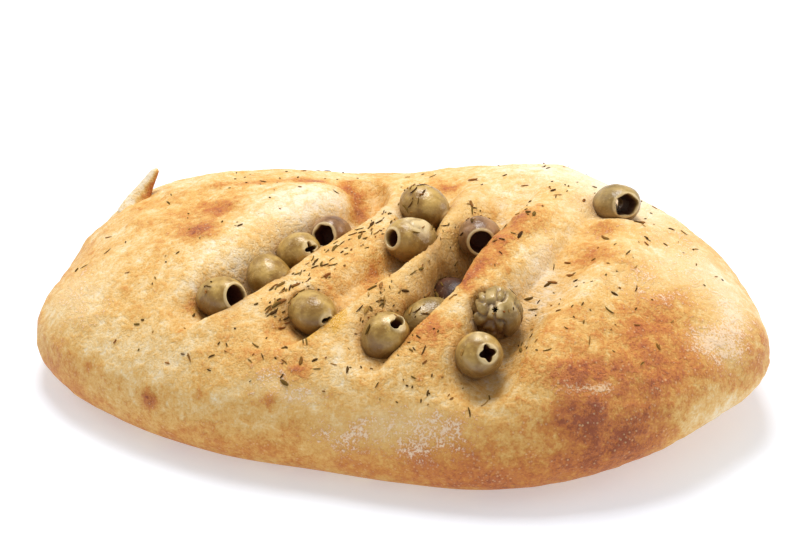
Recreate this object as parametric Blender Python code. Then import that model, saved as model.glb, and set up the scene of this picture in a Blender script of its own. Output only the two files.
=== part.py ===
"""An olive fougasse: one flat loaf with four slashes, olives sunk in them and dried herbs on top.

The loaf is a ball of points squashed to a plan outline. Its upper half follows a dome with
raised strips and slashes, its lower half a flat sole that turns up towards the rim. Each olive
is a turned solid with the hole of its stone, and lies in a socket of its own.
"""

import math

import bmesh
import bpy
import numpy as np
from mathutils import Matrix, Vector
from mathutils.bvhtree import BVHTree

MM = 0.001  # the sizes below are in millimetres

# Plan outline of the loaf at its widest level, as x, y points round the loaf.
RIM_POINTS = (
    (128.5, -30), (126, -4), (119, 24), (104, 46), (82, 66), (50, 82), (8, 87), (-34, 88),
    (-76, 87), (-105, 75), (-117, 54), (-125, 27), (-130, -6), (-120, -26), (-102, -43),
    (-71, -62), (-33, -74), (0, -83), (35, -88.5), (70, -83), (92, -73), (110, -58), (124, -43),
)
RIM_HEIGHT = 16.0  # height of the widest level
CROWN_HEIGHT = 53.0  # height of the dome before its lobes
SOLE_SHARE = 0.72  # share of the outline's radius that lies flat
LIFT_HEIGHT = 9.0  # the right end rises this far off the table
LIFT_ANGLE = math.radians(-22)
LIFT_SPREAD = 0.55

# Broad lobes on the dome: x, y, reach along x, reach along y, height.
LOBES = (
    (62, -10, 55, 55, 6), (-50, 20, 50, 50, 2), (-95, 45, 35, 40, 1.5), (62, 55, 40, 30, 8),
    (105, 5, 30, 40, 3), (-42, 58, 28, 24, 2.5), (67, 58, 16, 22, 3), (108, 36, 14, 16, 2),
    (80, 4, 14, 6, 4),
)

# Slashes: a line of x, y, depth; then reach of the far wall, of the near wall, and half the floor.
SLASHES = (
    (((-80, -38, 0), (-70, -33, 5), (-62, -29, 11), (-47, -17, 12), (-36, -4, 12.5),
      (-25, 7.5, 12.5), (-17, 17, 12), (-12.5, 27, 11), (-12, 37, 8), (-16, 49, 0)), 16, 9, 4.2),
    (((-46, -53, 0), (-36, -46, 6), (-29, -40, 10), (-19, -32, 5.5), (-7, -20, 7),
      (3.5, -7, 9), (8.5, 13, 8), (14, 28, 3), (20, 46, 0)), 11, 9, 3.5),
    (((-15, -69, 0), (-8, -60, 5), (-3, -53, 10), (10, -39, 17), (19, -21, 28),
      (28, -3, 14), (38, 15, 5), (50, 36, 0)), 15, 8, 3),
    (((16, -82, 0), (22, -72, 6), (27, -65, 10), (33, -50, 11), (44, -37, 8),
      (58, -17, 5), (69, 4, 3), (79, 17, 3.5), (91, 32, 0)), 10, 20, 4),
)
# Raised strips between the slashes: a line of x, y, height; then the reach to each side.
STRIPS = (
    (((-66, -47, 0), (-52, -39, 0.5), (-34, -24, 0.5), (-17, -4, 1), (0, 20, 1.5), (10, 40, 0)), 7.5),
    (((-25, -52, 0), (-8, -40, 2), (6, -24, 3), (16, -4, 3), (24, 16, 3), (33, 36, 0)), 7),
    (((-6, -70, 0), (8, -60, 1.5), (22, -44, 3), (33, -23, 4.5), (43, -5, 5), (55, 16, 3),
      (66, 36, 0)), 8.5),
    (((40, -76, 0), (50, -58, 2), (62, -38, 3.5), (73, -14, 3.5), (88, 6, 0)), 14),
    (((-90, -20, 0), (-70, -4, 2), (-52, 14, 3), (-36, 30, 3), (-20, 44, 0)), 15),
)
WALL_BLEND = 3.0  # distance over which a slash's near reach turns into its far reach
RELIEF = ((24.0, 1.3, 3), (10.0, 0.5, 8))  # crust relief: bump size, height, seed

# Torn flap of crust at the back left: x, y, z, half width, half thickness along its spine.
FLAP_SPINE = (
    (-101, 48, 36, 6.0, 3.2), (-98, 52, 40.5, 4.8, 2.6), (-95.3, 54.3, 44.5, 3.3, 2.0),
    (-92.8, 55.6, 48.3, 2.4, 1.5), (-90.3, 56.8, 52, 1.3, 1.0),
)
FLAP_TURN = math.radians(-20)  # the flap's broad side faces this way round the upright

# Olives: x, y, z of the centre; length, width and height; the way the hole faces, as shares to
# the right, up and towards a viewer 30 degrees above the table; hole radius, lobes, their depth.
OLIVES = (
    ((-61.2, -29.0, 46.4), (20.6, 14.8, 14.8), (0.66, 0.08, 0.74), (4.1, 0, 0.0)),
    ((-45.2, -17.6, 47.9), (18.0, 15.4, 15.4), (-0.50, 0.60, -0.60), (3.4, 0, 0.0)),
    ((-35.4, -4.0, 49.2), (18.0, 15.6, 15.6), (0.50, 0.24, 0.82), (1.9, 4, 0.35)),
    ((-24.4, 8.6, 49.6), (18.0, 14.6, 15.0), (-0.36, 0.00, 0.93), (3.8, 6, 0.05)),
    ((8.8, 16.6, 57.0), (19.6, 15.8, 15.8), (0.80, -0.40, 0.45), (1.5, 0, 0.0)),
    ((3.8, -5.6, 55.9), (20.4, 16.0, 16.0), (-0.74, 0.06, 0.66), (3.1, 0, 0.0)),
    ((-29.8, -39.8, 46.9), (20.0, 15.6, 15.0), (0.54, -0.24, 0.81), (1.4, 2, 0.40)),
    ((28.1, -1.4, 54.6), (17.2, 15.4, 15.4), (0.04, -0.27, 0.96), (4.2, 0, 0.0)),
    ((18.6, -19.0, 39.6), (18.0, 15.4, 15.4), (-0.40, 0.30, -0.86), (3.0, 0, 0.0)),
    ((9.6, -39.0, 43.2), (19.6, 15.6, 15.6), (0.80, 0.50, -0.30), (3.0, 0, 0.0)),
    ((-5.0, -54.0, 46.0), (18.6, 16.2, 16.2), (0.46, 0.56, 0.68), (2.3, 2, 0.45)),
    ((32.4, -48.4, 52.0), (18.6, 18.2, 18.2), (-0.10, 0.15, 0.98), (0.9, 6, 0.30)),
    ((25.9, -66.2, 46.6), (17.6, 16.0, 15.4), (0.36, 0.10, 0.92), (2.7, 4, 0.22)),
    ((77.2, 16.2, 58.4), (18.6, 16.8, 14.4), (0.38, -0.06, 0.92), (4.3, 5, 0.07)),
)
OPEN_OLIVE = 14  # its hole runs right through
FAR_RADIUS = 2.4  # of that hole's far end
FAR_SHIFT = 3.4  # how far to the right the far end lies off the olive's axis
FAR_SHARE = -0.80  # where it ends, and where the skin round it ends, as shares of half the length
SKIN_SHARE = -0.85
OLIVE_SIDES = 12
OLIVE_RINGS = 6  # rings between the blind end and the hole
OLIVE_POWER = 2.3  # above 2 the olive is fuller than an ellipsoid
HOLE_DEPTH = 0.55  # share of the olive's length
SOCKET_GAP = 0.45  # between an olive and the dough

# Patches of dried herbs: from x, y to x, y; half width; how many; spread of their turn; seed.
HERB_PATCHES = (
    ((-46, -42), (10, 23), 6.5, 150, 0.6, 11), ((-16, -54), (32, 16), 6.5, 96, 1.0, 12),
    ((0, -66), (60, 24), 8, 50, 1.5, 13), ((-52, -56), (30, -80), 8, 60, 2.0, 14),
    ((44, -70), (112, 10), 26, 80, 2.0, 15), ((-105, -6), (-20, 62), 26, 48, 2.0, 16),
    ((-104, -34), (-30, -66), 8, 24, 2.0, 17), ((0, 44), (96, 40), 16, 30, 2.0, 18),
    ((-12, -46), (10, -44), 5, 36, 1.2, 19), ((34, -60), (62, -18), 8, 16, 2.0, 20),
    ((-71, -34), (-64, -30), 1.5, 6, 2.0, 21),
)
HERB_LENGTHS = (0.9, 4.4)
CAD_HERB_COUNT = 54  # only the longest slivers are solid
CAD_HERB_WIDTH = 1.0
CAD_HERB_THICKNESS = 1.0
HERB_CLEARANCE = 2.6  # from a sliver's middle to an olive

BALL_STEPS = 7
DOUGH_TRIANGLES = 5200

CRUST = ("golden crust", (0.80, 0.58, 0.32, 1.0), 0.72)
OLIVE_SKIN = ("green olive", (0.30, 0.26, 0.12, 1.0), 0.38)


def smooth_step(t: np.ndarray) -> np.ndarray:
    """Ease from 0 to 1 as t runs from 0 to 1."""
    t = np.clip(t, 0.0, 1.0)
    return t * t * (3.0 - 2.0 * t)


def closed_curve(angles: np.ndarray, radii: np.ndarray, at: np.ndarray) -> np.ndarray:
    """Radius at each angle, on a smooth closed curve through the given angles and radii."""
    turn = 2.0 * math.pi
    a = np.concatenate([angles[-2:] - turn, angles, angles[:2] + turn])
    v = np.concatenate([radii[-2:], radii, radii[:2]])
    at = np.mod(at - a[2], turn) + a[2]
    i = np.clip(np.searchsorted(a, at, side="right") - 1, 1, len(a) - 3)
    h = a[i + 1] - a[i]
    t = (at - a[i]) / h
    slope_in = (v[i + 1] - v[i - 1]) / (a[i + 1] - a[i - 1]) * h
    slope_out = (v[i + 2] - v[i]) / (a[i + 2] - a[i]) * h
    return (
        (2 * t**3 - 3 * t**2 + 1) * v[i]
        + (t**3 - 2 * t**2 + t) * slope_in
        + (3 * t**2 - 2 * t**3) * v[i + 1]
        + (t**3 - t**2) * slope_out
    )


def open_curve(knots: tuple, steps: int = 6) -> np.ndarray:
    """Rows along a smooth curve through the given rows."""
    k = np.array(knots, dtype=float)
    k = np.vstack([2 * k[0] - k[1], k, 2 * k[-1] - k[-2]])
    rows = []
    for i in range(1, len(k) - 2):
        for t in np.arange(steps) / steps:
            rows.append(0.5 * (
                2 * k[i]
                + (k[i + 1] - k[i - 1]) * t
                + (2 * k[i - 1] - 5 * k[i] + 4 * k[i + 1] - k[i + 2]) * t**2
                + (3 * k[i] - k[i - 1] - 3 * k[i + 1] + k[i + 2]) * t**3
            ))
    rows.append(k[-2])
    return np.array(rows)


def beside_line(line: np.ndarray, x: np.ndarray, y: np.ndarray) -> tuple:
    """Distance of each point to a line, positive on its right, and the line's value there."""
    nearest = np.full(x.shape, np.inf)
    side = np.ones(x.shape)
    value = np.zeros(x.shape)
    for start, end in zip(line[:-1], line[1:]):
        dx, dy = end[:2] - start[:2]
        t = np.clip(((x - start[0]) * dx + (y - start[1]) * dy) / (dx * dx + dy * dy), 0.0, 1.0)
        qx = x - start[0] - t * dx
        qy = y - start[1] - t * dy
        distance = np.hypot(qx, qy)
        closer = distance < nearest
        nearest = np.where(closer, distance, nearest)
        side = np.where(closer, np.where(qx * dy - qy * dx < 0, -1.0, 1.0), side)
        value = np.where(closer, start[2] + t * (end[2] - start[2]), value)
    return nearest * side, value


def lattice_value(ix: np.ndarray, iy: np.ndarray, iz: np.ndarray, seed: int) -> np.ndarray:
    """A fixed value from -1 to 1 for each corner of a lattice."""
    n = (ix * 73856093) ^ (iy * 19349663) ^ (iz * 83492791) ^ (seed * 40503)
    n = n & 0x7FFFFFFF
    n = ((n ^ (n >> 13)) * 1274126177) & 0x7FFFFFFF
    return ((n ^ (n >> 16)) & 0xFFFF) / 32767.5 - 1.0


def smooth_noise(points: np.ndarray, cell: float, seed: int) -> np.ndarray:
    """Smooth bumps of the given size at each x, y, z row, from -1 to 1."""
    scaled = points / cell
    corner = np.floor(scaled).astype(np.int64)
    f = smooth_step(scaled - corner)
    total = np.zeros(len(points))
    for ox in (0, 1):
        for oy in (0, 1):
            for oz in (0, 1):
                weight = (
                    (f[:, 0] if ox else 1 - f[:, 0])
                    * (f[:, 1] if oy else 1 - f[:, 1])
                    * (f[:, 2] if oz else 1 - f[:, 2])
                )
                x, y, z = corner[:, 0] + ox, corner[:, 1] + oy, corner[:, 2] + oz
                total += weight * lattice_value(x, y, z, seed)
    return total


class Loaf:
    """The loaf's form in plan coordinates, in millimetres."""

    def __init__(self) -> None:
        points = np.array(RIM_POINTS, dtype=float)
        angles = np.arctan2(points[:, 1], points[:, 0])
        order = np.argsort(angles)
        self.angles = angles[order]
        self.radii = np.hypot(points[:, 0], points[:, 1])[order]
        self.slashes = [(open_curve(s[0]), *s[1:]) for s in SLASHES]
        self.strips = [(open_curve(s[0]), s[1]) for s in STRIPS]
        turn = np.linspace(-math.pi, math.pi, 2881)
        rim_x = self.rim_radius(turn) * np.cos(turn)
        rim_y = self.rim_radius(turn) * np.sin(turn)
        middle = ((rim_x.max() + rim_x.min()) / 2, (rim_y.max() + rim_y.min()) / 2)
        self.centre = np.array([middle[0], middle[1], 0.0])

    def rim_radius(self, angle: np.ndarray) -> np.ndarray:
        """Radius of the outline in each direction."""
        return closed_curve(self.angles, self.radii, angle)

    def polar(self, x: np.ndarray, y: np.ndarray) -> tuple:
        """Share of the outline's radius, and the direction, of each point."""
        angle = np.arctan2(y, x)
        return np.clip(np.hypot(x, y) / self.rim_radius(angle), 0.0, 1.0), angle

    def lift(self, angle: np.ndarray) -> np.ndarray:
        """How far the rim is raised off the table in each direction."""
        apart = np.angle(np.exp(1j * (angle - LIFT_ANGLE)))
        return LIFT_HEIGHT * np.exp(-((apart / LIFT_SPREAD) ** 2))

    def dome(self, x: np.ndarray, y: np.ndarray) -> np.ndarray:
        """Height of the smooth dome, before its slashes."""
        share, angle = self.polar(x, y)
        right = 0.5 + 0.5 * np.cos(angle + 0.35)
        rise = (1 - share ** (3.0 + right**2)) ** (1 / (2.0 + 0.2 * right**2))
        crown = CROWN_HEIGHT + sum(
            height * np.exp(-(((x - cx) / rx) ** 2) - ((y - cy) / ry) ** 2)
            for cx, cy, rx, ry, height in LOBES
        )
        base = RIM_HEIGHT + self.lift(angle)
        return base + (crown - base) * rise

    def top(self, x: np.ndarray, y: np.ndarray) -> np.ndarray:
        """Height of the upper crust, with its slashes and raised strips."""
        share, _ = self.polar(x, y)
        cut = np.zeros(x.shape)
        for line, far, near, floor in self.slashes:
            distance, depth = beside_line(line, x, y)
            side = smooth_step(distance / (2 * WALL_BLEND) + 0.5)
            reach = far + (near - far) * side
            up = np.clip((np.abs(distance) - floor) / (reach - floor), 0.0, 1.0)
            shoulder = (1 - up) ** 2 * (1 - side) + (1 - smooth_step(up)) * side
            cut += (np.maximum(depth, 0.0) * shoulder) ** 4
        rise = np.zeros(x.shape)
        for line, reach in self.strips:
            distance, height = beside_line(line, x, y)
            rise += height * np.exp(-((distance / reach) ** 2))
        inside = 1 - smooth_step((share - 0.86) / 0.13)
        return self.dome(x, y) + (rise - cut**0.25) * inside

    def sole(self, x: np.ndarray, y: np.ndarray) -> np.ndarray:
        """Height of the underside: flat, then turning up to the rim."""
        share, angle = self.polar(x, y)
        outer = np.clip((share - SOLE_SHARE) / (1 - SOLE_SHARE), 0.0, 1.0)
        lifted = self.lift(angle) * smooth_step(outer / 0.8)
        rim = RIM_HEIGHT + self.lift(angle)
        return lifted + (rim - lifted) * (1 - np.sqrt(1 - outer**4))

    def crust(self, ball: np.ndarray) -> np.ndarray:
        """Carries points of a unit ball to the crust, in millimetres from the part's origin."""
        angle = np.arctan2(ball[:, 1], ball[:, 0])
        radius = np.hypot(ball[:, 0], ball[:, 1]) * self.rim_radius(angle)
        x = radius * np.cos(angle)
        y = radius * np.sin(angle)
        upper = ball[:, 2] > 0
        z = np.where(upper, self.top(x, y), self.sole(x, y))
        points = np.column_stack([x, y, z])
        away = smooth_step((z - 3.0) / 12.0)
        for cell, height, seed in RELIEF:
            points[:, 2] += height * smooth_noise(points, cell, seed) * away * upper
        return points - self.centre


def new_object(name: str, mesh: bpy.types.Mesh, material: bpy.types.Material) -> bpy.types.Object:
    """An object in the scene with one material."""
    obj = bpy.data.objects.new(name, mesh)
    bpy.context.scene.collection.objects.link(obj)
    mesh.materials.append(material)
    return obj


def new_material(name: str, colour: tuple, roughness: float) -> bpy.types.Material:
    """A plain Principled material."""
    material = bpy.data.materials.new(name)
    material.use_nodes = True
    shader = material.node_tree.nodes["Principled BSDF"]
    shader.inputs["Base Color"].default_value = colour
    shader.inputs["Roughness"].default_value = roughness
    shader.inputs["Metallic"].default_value = 0.0
    return material


def apply_modifier(obj: bpy.types.Object, kind: str, **settings) -> None:
    """Adds a modifier with the given settings and makes its result the object's mesh."""
    modifier = obj.modifiers.new(kind.title(), kind)
    for key, value in settings.items():
        setattr(modifier, key, value)
    result = bpy.data.meshes.new_from_object(
        obj.evaluated_get(bpy.context.evaluated_depsgraph_get())
    )
    obj.modifiers.clear()
    obj.data = result


def rings_to_mesh(
    name: str, rings: list, start: Vector | None = None, end: Vector | None = None
) -> bpy.types.Mesh:
    """A closed mesh through rings of equal count: from end point to end point, or all round."""
    bm = bmesh.new()
    loops = [[bm.verts.new(point) for point in ring] for ring in rings]
    if start is None:
        loops.append(loops[0])
    count = len(loops[0])
    for i in range(count):
        j = (i + 1) % count
        for low, high in zip(loops[:-1], loops[1:]):
            bm.faces.new((low[i], low[j], high[j], high[i]))
    if start is not None:
        first = bm.verts.new(start)
        last = bm.verts.new(end)
        for i in range(count):
            j = (i + 1) % count
            bm.faces.new((first, loops[0][j], loops[0][i]))
            bm.faces.new((last, loops[-1][i], loops[-1][j]))
    mesh = bpy.data.meshes.new(name)
    bm.to_mesh(mesh)
    bm.free()
    return mesh


def ring(
    radius: float, height: float, flat: float, lobes: int = 0, depth: float = 0.0
) -> list:
    """Points of one ring round the Z axis, flattened along Y, with lobes, in metres."""
    points = []
    for i in range(OLIVE_SIDES):
        angle = 2 * math.pi * i / OLIVE_SIDES
        r = radius * (1 + depth * math.cos(lobes * angle)) * MM
        points.append(Vector((r * math.cos(angle), r * math.sin(angle) * flat, height * MM)))
    return points


def skin_radius(width: float, share: float) -> float:
    """Radius of an olive at a share of half its length from its middle."""
    return width / 2 * math.sqrt(1 - abs(share) ** OLIVE_POWER)


def olive_mesh(name: str, size: tuple, hole: tuple, shift: Vector | None) -> bpy.types.Mesh:
    """An olive along Z with its hole at the upper end; a shift opens its lower end too."""
    length, width, height = size
    radius, lobes, depth = hole
    half = length / 2
    flat = height / width
    lip_share = (1 - ((radius + 0.9) / (width / 2)) ** 2) ** (1 / OLIVE_POWER)
    lip = half * lip_share
    low_share = -1.0 if shift is None else SKIN_SHARE
    rings = []
    for step in range(0 if shift else 1, OLIVE_RINGS + 1):
        run = smooth_step(np.float64(step / OLIVE_RINGS)).item()
        share = max(low_share + (lip_share - low_share) * run, -0.96)
        rings.append(ring(skin_radius(width, share), half * share, flat))
    rings.append(ring(radius, lip + 0.1, flat, lobes, depth))
    rings.append(ring(radius * 0.95, lip - 1.5, flat, lobes, depth))
    if shift is None:
        rings.append(ring(radius * 0.9, lip - length * HOLE_DEPTH, flat))
        bottom = Vector((0, 0, (lip - length * HOLE_DEPTH - 1.0) * MM))
        return rings_to_mesh(name, rings, Vector((0, 0, -half * MM)), bottom)
    middle = ring((radius + FAR_RADIUS) / 2, 0.0, flat)
    far = ring(FAR_RADIUS, half * FAR_SHARE, flat)
    rings.append([point + shift * 0.5 for point in middle])
    rings.append([point + shift for point in far])
    return rings_to_mesh(name, rings)


def socket_mesh(name: str, length: float, width: float, height: float) -> bpy.types.Mesh:
    """The solid that cuts an olive's socket: the same olive, without a hole and a little larger."""
    half = length / 2 + SOCKET_GAP
    wide = width + SOCKET_GAP * 2.6
    flat = (height + SOCKET_GAP * 2.6) / wide
    rings = []
    for step in range(1, OLIVE_RINGS + 2):
        share = -math.cos(math.pi * step / (OLIVE_RINGS + 2))
        rings.append(ring(skin_radius(wide, share), half * share, flat))
    return rings_to_mesh(name, rings, Vector((0, 0, -half * MM)), Vector((0, 0, half * MM)))


def facing(shares: tuple) -> Vector:
    """World direction of right, up and near shares, for a viewer 30 degrees above the table."""
    right, up, near = shares
    slope = math.radians(30)
    return Vector((
        right,
        up * math.sin(slope) - near * math.cos(slope),
        up * math.cos(slope) + near * math.sin(slope),
    )).normalized()


def olive_place(loaf: Loaf, place: tuple, shares: tuple) -> Matrix:
    """Turns an olive's Z axis to its facing and moves it to its place."""
    turn = facing(shares).to_track_quat("Z", "Y").to_matrix().to_4x4()
    spot = Vector((np.array(place) - loaf.centre) * MM)
    return Matrix.Translation(spot) @ turn


def herb_slivers(loaf: Loaf) -> list:
    """Every herb sliver as x, y, angle and length in plan, by a seeded rule, longest first."""
    slivers = []
    for start, end, half_width, count, spread, seed in HERB_PATCHES:
        rng = np.random.default_rng(seed)
        along = rng.random(count)
        across = rng.uniform(-half_width, half_width, count)
        dx, dy = end[0] - start[0], end[1] - start[1]
        angle = math.atan2(dy, dx) + rng.uniform(-spread, spread, count)
        size = rng.random(count) ** 2.2
        run = math.hypot(dx, dy)
        x = start[0] + along * dx - across * dy / run
        y = start[1] + along * dy + across * dx / run
        length = HERB_LENGTHS[0] + size * (HERB_LENGTHS[1] - HERB_LENGTHS[0])
        share, _ = loaf.polar(x, y)
        slivers += [row for row in zip(x, y, angle, length, share) if row[4] < 0.93]
    return sorted(slivers, key=lambda row: -row[3])


def near_an_olive(x: float, y: float) -> bool:
    """Whether a point in plan lies over or too close to an olive."""
    return any(
        math.hypot(x - place[0], y - place[1]) < size[0] / 2 + HERB_CLEARANCE
        for place, size, _, _ in OLIVES
    )


def sliver_mesh(spot: Vector, normal: Vector, angle: float, length: float) -> bpy.types.Mesh:
    """A pointed herb sliver lying on the crust, a third of it sunk in."""
    along = Vector((math.cos(angle), math.sin(angle), 0.0))
    along = (along - normal * along.dot(normal)).normalized()
    across = normal.cross(along)
    half = length * MM / 2
    rings = []
    for share, swell in ((-0.55, 0.8), (0.5, 1.0)):
        middle = spot + along * half * share + normal * CAD_HERB_THICKNESS * MM * 0.16
        wide = across * CAD_HERB_WIDTH * MM / 2 * swell
        high = normal * CAD_HERB_THICKNESS * MM / 2 * swell
        rings.append([middle - wide, middle - high, middle + wide, middle + high])
    tips = [spot + along * half * s + normal * 0.05 * MM for s in (-1, 1)]
    return rings_to_mesh("sliver", rings, tips[0], tips[1])


def flap_mesh(loaf: Loaf) -> bpy.types.Mesh:
    """The torn flap, as flattened hexagons along its spine."""
    broad = Vector((math.cos(FLAP_TURN), math.sin(FLAP_TURN), 0.0))
    deep = Vector((-math.sin(FLAP_TURN), math.cos(FLAP_TURN), 0.0))
    rings = []
    middles = []
    for x, y, z, half_width, half_thickness in FLAP_SPINE:
        middle = Vector((np.array((x, y, z)) - loaf.centre) * MM)
        middles.append(middle)
        rings.append([
            middle
            + broad * math.cos(angle) * half_width * MM
            + deep * math.sin(angle) * half_thickness * MM
            for angle in (math.radians(60 * i) for i in range(6))
        ])
    start = middles[0] - Vector((0, 0, 2 * MM))
    end = middles[-1] + Vector((0.4 * MM, 0, 1.2 * MM))
    return rings_to_mesh("flap", rings, start, end)


def new_cutters(name: str, items: list) -> bpy.types.Collection:
    """A collection of hidden helper solids for one Boolean."""
    collection = bpy.data.collections.new(name)
    bpy.context.scene.collection.children.link(collection)
    for i, (mesh, place) in enumerate(items):
        helper = bpy.data.objects.new(f"{name}_{i}", mesh)
        helper.matrix_world = place
        helper.hide_render = True
        helper.display_type = "WIRE"
        collection.objects.link(helper)
    return collection


def combine(obj: bpy.types.Object, operation: str, items: list) -> None:
    """Joins to the object, or cuts from it, the helper solids, and removes them."""
    collection = new_cutters(operation.lower(), items)
    bpy.context.view_layer.update()
    apply_modifier(
        obj, "BOOLEAN", operation=operation, operand_type="COLLECTION", collection=collection,
        solver="EXACT",
    )
    for helper in list(collection.objects):
        bpy.data.objects.remove(helper, do_unlink=True)
    bpy.data.collections.remove(collection)


def keep_largest(mesh: bpy.types.Mesh) -> None:
    """Drops scraps that a cut has left loose from the main body."""
    bm = bmesh.new()
    bm.from_mesh(mesh)
    bmesh.ops.remove_doubles(bm, verts=bm.verts, dist=0.000005)
    bmesh.ops.triangulate(bm, faces=bm.faces)
    seen = set()
    bodies = []
    for seed in bm.verts:
        if seed in seen:
            continue
        body = [seed]
        seen.add(seed)
        for vert in body:
            for edge in vert.link_edges:
                other = edge.other_vert(vert)
                if other not in seen:
                    seen.add(other)
                    body.append(other)
        bodies.append(body)
    bodies.sort(key=len)
    scraps = [vert for body in bodies[:-1] for vert in body]
    bmesh.ops.delete(bm, geom=scraps, context="VERTS")
    bm.to_mesh(mesh)
    bm.free()


def build_bread(loaf: Loaf) -> None:
    """The dough with its sockets, the torn flap and the longest herb slivers, in one body."""
    bm = bmesh.new()
    bmesh.ops.create_icosphere(bm, subdivisions=BALL_STEPS, radius=1.0)
    ball = np.array([v.co[:] for v in bm.verts])
    for vert, point in zip(bm.verts, loaf.crust(ball) * MM):
        vert.co = point
    mesh = bpy.data.meshes.new("bread")
    bm.to_mesh(mesh)
    bm.free()
    bread = new_object("bread", mesh, new_material(*CRUST))
    apply_modifier(bread, "DECIMATE", ratio=DOUGH_TRIANGLES / len(mesh.polygons))

    surface = bmesh.new()
    surface.from_mesh(bread.data)
    tree = BVHTree.FromBMesh(surface)
    surface.free()
    joined = [(flap_mesh(loaf), Matrix.Identity(4))]
    for x, y, angle, length, _ in herb_slivers(loaf):
        if len(joined) > CAD_HERB_COUNT:
            break
        if near_an_olive(x, y):
            continue
        above = Vector(((x - loaf.centre[0]) * MM, (y - loaf.centre[1]) * MM, 1.0))
        spot, normal, _, _ = tree.ray_cast(above, Vector((0, 0, -1)))
        joined.append((sliver_mesh(spot, normal, angle, length), Matrix.Identity(4)))

    sockets = [
        (socket_mesh("socket", *size), olive_place(loaf, place, shares))
        for place, size, shares, _ in OLIVES
    ]
    combine(bread, "DIFFERENCE", sockets)
    keep_largest(bread.data)
    combine(bread, "UNION", joined)
    keep_largest(bread.data)
    bread.data.shade_smooth()
    bread.data.set_sharp_from_angle(angle=math.radians(50))


def build_olives(loaf: Loaf) -> None:
    """Each olive in its own object."""
    skin = new_material(*OLIVE_SKIN)
    for number, (place, size, shares, hole) in enumerate(OLIVES, start=1):
        name = f"olive_{number:02d}"
        spot = olive_place(loaf, place, shares)
        shift = None
        if number == OPEN_OLIVE:
            shift = spot.to_3x3().inverted() @ Vector((FAR_SHIFT * MM, 0, 0))
            shift.z = 0.0
        olive = new_object(name, olive_mesh(name, size, hole, shift), skin)
        olive.matrix_world = spot
        olive.data.shade_smooth()
        olive.data.set_sharp_from_angle(angle=math.radians(50))


def main() -> None:
    """Clears the scene and builds the fougasse."""
    for obj in list(bpy.data.objects):
        bpy.data.objects.remove(obj, do_unlink=True)
    loaf = Loaf()
    build_bread(loaf)
    build_olives(loaf)


main()
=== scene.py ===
"""The looks of an olive fougasse: floured and oiled crust, pitted olives and dried herbs.

The loaf is in millimetres in its own plan, as the solids are, and becomes metres when a mesh is
written. The crust, the torn flap and the herbs stand for the bread, and each olive for its own.
"""
from __future__ import annotations

import logging
import math
from dataclasses import dataclass
from enum import Enum
from typing import Sequence

import bpy
import numpy as np
from mathutils import Matrix, Vector
from mathutils.bvhtree import BVHTree


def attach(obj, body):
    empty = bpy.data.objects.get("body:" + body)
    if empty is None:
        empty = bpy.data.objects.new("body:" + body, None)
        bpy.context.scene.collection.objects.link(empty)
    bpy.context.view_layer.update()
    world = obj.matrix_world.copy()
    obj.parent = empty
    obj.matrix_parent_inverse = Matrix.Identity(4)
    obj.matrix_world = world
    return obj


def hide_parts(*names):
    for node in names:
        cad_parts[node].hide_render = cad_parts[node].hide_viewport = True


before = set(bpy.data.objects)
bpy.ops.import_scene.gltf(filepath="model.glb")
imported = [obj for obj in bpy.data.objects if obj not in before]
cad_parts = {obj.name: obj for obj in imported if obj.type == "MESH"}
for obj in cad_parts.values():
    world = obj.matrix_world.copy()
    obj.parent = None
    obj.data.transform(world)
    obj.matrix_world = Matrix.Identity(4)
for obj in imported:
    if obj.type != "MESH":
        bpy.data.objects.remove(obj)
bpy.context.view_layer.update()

logging.basicConfig(level=logging.INFO, format="%(message)s")
log = logging.getLogger("fougasse")

MM = 0.001
MM_PER_M = 1000.0
FAR_UP = 1000.0
VIEW_SLOPE = math.radians(30)
BODY = "root"
Colour = tuple[float, float, float, float]


def srgb(red: int, green: int, blue: int) -> Colour:
    """Linear colour of an 8-bit screen colour."""
    channels = []
    for value in (red, green, blue):
        share = value / 255
        channels.append(share / 12.92 if share <= 0.04045 else ((share + 0.055) / 1.055) ** 2.4)
    return (channels[0], channels[1], channels[2], 1.0)


def smooth_step(t: np.ndarray) -> np.ndarray:
    """Ease from 0 to 1 as t runs from 0 to 1."""
    t = np.clip(t, 0.0, 1.0)
    return t * t * (3.0 - 2.0 * t)


def bell(t: np.ndarray) -> np.ndarray:
    """1 where t is 0, falling off on both sides."""
    return np.exp(-(t**2))


def turned_from(angle: np.ndarray, way: float) -> np.ndarray:
    """How far each direction is turned from one way, from minus to plus half a turn."""
    return np.angle(np.exp(1j * (angle - way)))


def lattice_value(ix: np.ndarray, iy: np.ndarray, iz: np.ndarray, seed: int) -> np.ndarray:
    """A fixed value from -1 to 1 for each corner of a lattice."""
    n = (ix * 73856093) ^ (iy * 19349663) ^ (iz * 83492791) ^ (seed * 40503)
    n = n & 0x7FFFFFFF
    n = ((n ^ (n >> 13)) * 1274126177) & 0x7FFFFFFF
    return ((n ^ (n >> 16)) & 0xFFFF) / 32767.5 - 1.0


def smooth_noise(points: np.ndarray, cell: float, seed: int) -> np.ndarray:
    """Smooth bumps over a set of points.

    Args:
        points: rows of x, y, z.
        cell: size of a bump, in the points' units.
        seed: picks the pattern.

    Returns:
        A value from -1 to 1 for each row.
    """
    scaled = points / cell
    corner = np.floor(scaled).astype(np.int64)
    f = smooth_step(scaled - corner)
    total = np.zeros(len(points))
    for ox in (0, 1):
        for oy in (0, 1):
            for oz in (0, 1):
                weight = (
                    (f[:, 0] if ox else 1 - f[:, 0])
                    * (f[:, 1] if oy else 1 - f[:, 1])
                    * (f[:, 2] if oz else 1 - f[:, 2])
                )
                x, y, z = corner[:, 0] + ox, corner[:, 1] + oy, corner[:, 2] + oz
                total += weight * lattice_value(x, y, z, seed)
    return total


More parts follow.
